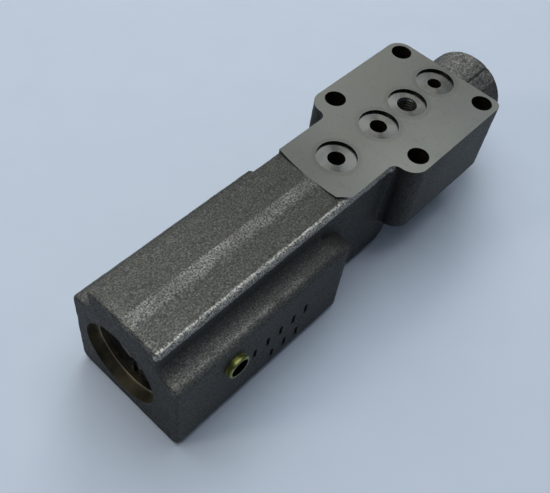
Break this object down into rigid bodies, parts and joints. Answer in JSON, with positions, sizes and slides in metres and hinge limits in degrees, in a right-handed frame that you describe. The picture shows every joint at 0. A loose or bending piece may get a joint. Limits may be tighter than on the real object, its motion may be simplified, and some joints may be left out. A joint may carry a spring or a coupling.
{
  "type": "cartridge valve",
  "caption": "Hydraulic spool valve in a cast-iron housing: spool, cage and springs fitted as a cartridge behind a capped mouth, with a flanged port face and a plated side port.",
  "frame": {"origin": "on the flat base, below the middle of the overall length and under the row of ports; the spool's axis is 2.4 mm towards +Y from there and 18 mm up", "axes": "+X along the spool from the cartridge cavity's mouth to the boss, +Z out of the mounting face, +Y completes the right-handed frame, so the side port faces -Y"},
  "size_m": [0.1554, 0.0429, 0.042],
  "materials": {
    "cast_iron": "rough sand-cast grey iron under a thin dark oily film, with machined faces",
    "yellow_zinc": "steel with olive-yellow passivated zinc plating",
    "ground_steel": "ground and hardened steel",
    "turned_steel": "turned steel with fine tool marks",
    "phosphated_steel": "dull grey phosphated steel with turned faces",
    "black_oxide_steel": "steel with black oxide finish",
    "spring_steel": "round spring wire, lightly oiled",
    "seal_rubber": "black nitrile rubber",
    "backup_plastic": "off-white filled PTFE"
  },
  "bodies": {
    "housing": {"housing": "cast_iron", "port_sleeve": "yellow_zinc", "retaining_ring": "black_oxide_steel", "spring_cap": "phosphated_steel", "cap_o_ring": "seal_rubber", "cap_backup_ring": "backup_plastic", "preload_shims": "turned_steel", "outer_spring": "spring_steel", "inner_spring": "spring_steel", "cage_retaining_ring": "black_oxide_steel", "valve_cage": "turned_steel", "cage_o_rings": "seal_rubber", "cage_backup_rings": "backup_plastic", "piston_bushing": "turned_steel", "bushing_o_ring": "seal_rubber", "end_plug": "black_oxide_steel", "end_plug_o_ring": "seal_rubber", "orifice_screw": "turned_steel"},
    "spool": {"spool": "ground_steel"},
    "spring_seat": {"spring_seat": "turned_steel"},
    "sensing_piston": {"sensing_piston": "ground_steel"}
  },
  "joints": [
    {"name": "spool_slide", "type": "slide", "parent": "housing", "child": "spool", "axis": [-1, 0, 0], "range_m": [0, 0.003], "stiffness_N_per_m": 8500, "springref_m": -0.0025},
    {"name": "seat_slide", "type": "slide", "parent": "housing", "child": "spring_seat", "axis": [-1, 0, 0], "range_m": [0, 0.003], "deforming": ["outer_spring", "inner_spring"]},
    {"name": "piston_slide", "type": "slide", "parent": "housing", "child": "sensing_piston", "axis": [-1, 0, 0], "range_m": [0, 0.003]}
  ],
  "couplings": [
    {"joint": "seat_slide", "follows": "spool_slide", "ratio": 1},
    {"joint": "piston_slide", "follows": "spool_slide", "ratio": 1}
  ]
}
